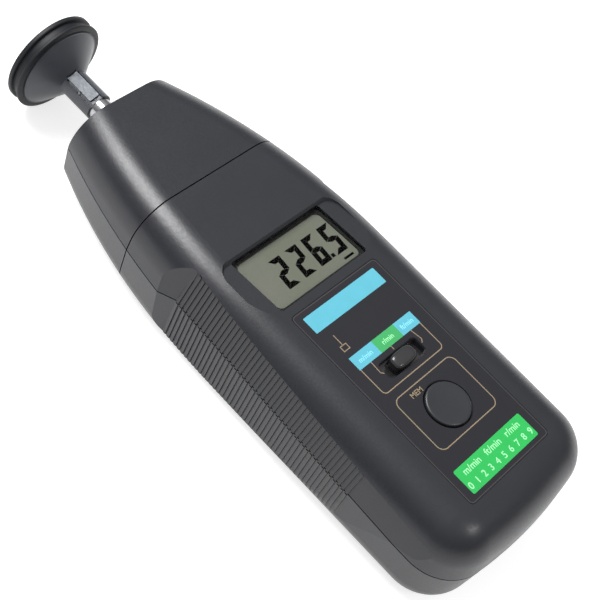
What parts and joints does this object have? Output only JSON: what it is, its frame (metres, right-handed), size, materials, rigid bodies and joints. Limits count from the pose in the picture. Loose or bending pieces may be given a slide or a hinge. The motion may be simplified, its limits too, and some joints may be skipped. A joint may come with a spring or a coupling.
{
  "type": "contact tachometer",
  "caption": "Hand-held contact tachometer with a display, a slide switch, push buttons, ribbed grips and a speed wheel on its spindle.",
  "frame": {"origin": "centre of the bounding box in X and Y, on the flat back of the case", "axes": "+X across the case to the measuring button's side, +Y from the tail to the measuring wheel, +Z from the back to the display"},
  "size_m": [0.0696, 0.2112, 0.0403],
  "materials": {
    "case_plastic": "fine textured dark grey",
    "cover_plastic": "fine textured dark grey",
    "window_clear": "clear glossy",
    "bezel_black": "matt black",
    "lcd_glass": "grey-green reflective",
    "strip_rubber": "soft pink-grey rubber",
    "label_film": "printed satin film",
    "button_plastic": "satin dark",
    "knob_plastic": "satin black",
    "switch_plastic": "moulded black",
    "actuator_plastic": "moulded white",
    "board_green": "glass-fibre board with green mask",
    "chip_black": "moulded black",
    "contact_metal": "nickel plated",
    "cell_sleeve": "plain printed sleeve",
    "shaft_steel": "polished",
    "pin_steel": "ground",
    "bush_bronze": "sintered",
    "carrier_metal": "die cast",
    "disc_black": "thin black sheet",
    "wheel_plastic": "moulded dark grey",
    "tongue_metal": "satin",
    "tyre_rubber": "black rubber",
    "screw_steel": "zinc plated"
  },
  "bodies": {
    "case": {"front_shell": "case_plastic", "rear_shell": "case_plastic", "nose_front_shell": "case_plastic", "nose_rear_shell": "case_plastic", "lcd_window": "window_clear", "display_bezel": "bezel_black", "lcd_panel": "lcd_glass", "contact_strips": "strip_rubber", "front_label": "label_film", "memory_switch": "switch_plastic", "mode_switch_body": "contact_metal", "test_switch": "switch_plastic", "test_board": "board_green", "main_board": "board_green", "main_chip": "chip_black", "sensor_board": "board_green", "light_barrier": "chip_black", "tail_contacts": "contact_metal", "nose_link_contact": "contact_metal", "nose_end_contacts": "contact_metal", "rear_bush": "bush_bronze", "front_bush": "bush_bronze", "bearing_carrier": "carrier_metal", "case_screws": "screw_steel", "nose_screws": "screw_steel", "board_screws": "screw_steel", "sensor_screws": "screw_steel", "carrier_screws": "screw_steel", "battery_cell_1": "cell_sleeve", "battery_cell_2": "cell_sleeve", "battery_cell_3": "cell_sleeve", "battery_cell_4": "cell_sleeve"},
    "spindle": {"spindle_shaft": "shaft_steel", "drive_pin": "pin_steel", "retaining_rings": "pin_steel", "encoder_disc": "disc_black"},
    "wheel": {"wheel_disc": "wheel_plastic", "hub_tongue": "tongue_metal", "wheel_tyre": "tyre_rubber"},
    "mode_slider": {"mode_knob": "knob_plastic", "mode_actuator": "actuator_plastic"},
    "memory_key": {"memory_button": "button_plastic", "memory_plunger": "switch_plastic"},
    "measure_key": {"test_button": "button_plastic", "test_plunger": "switch_plastic"},
    "cover": {"battery_cover": "cover_plastic"}
  },
  "joints": [
    {"name": "spindle_spin", "type": "hinge", "parent": "case", "child": "spindle", "pos_m": [0, 0.05, 0.0175], "axis": [0, 1, 0], "continuous": true},
    {"name": "wheel_pull", "type": "slide", "parent": "spindle", "child": "wheel", "axis": [0, 1, 0], "range_m": [0, 0.02]},
    {"name": "mode_slide", "type": "slide", "parent": "case", "child": "mode_slider", "axis": [1, 0, 0], "range_m": [-0.0033, 0.0033]},
    {"name": "memory_press", "type": "slide", "parent": "case", "child": "memory_key", "axis": [0, 0, -1], "range_m": [0, 0.0007], "stiffness_N_per_m": 800, "springref_m": -0.0005},
    {"name": "measure_press", "type": "slide", "parent": "case", "child": "measure_key", "axis": [-1, 0, 0], "range_m": [0, 0.0007], "stiffness_N_per_m": 800, "springref_m": -0.0005},
    {"name": "cover_slide", "type": "slide", "parent": "case", "child": "cover", "axis": [0, -1, 0], "range_m": [0, 0.06]}
  ]
}
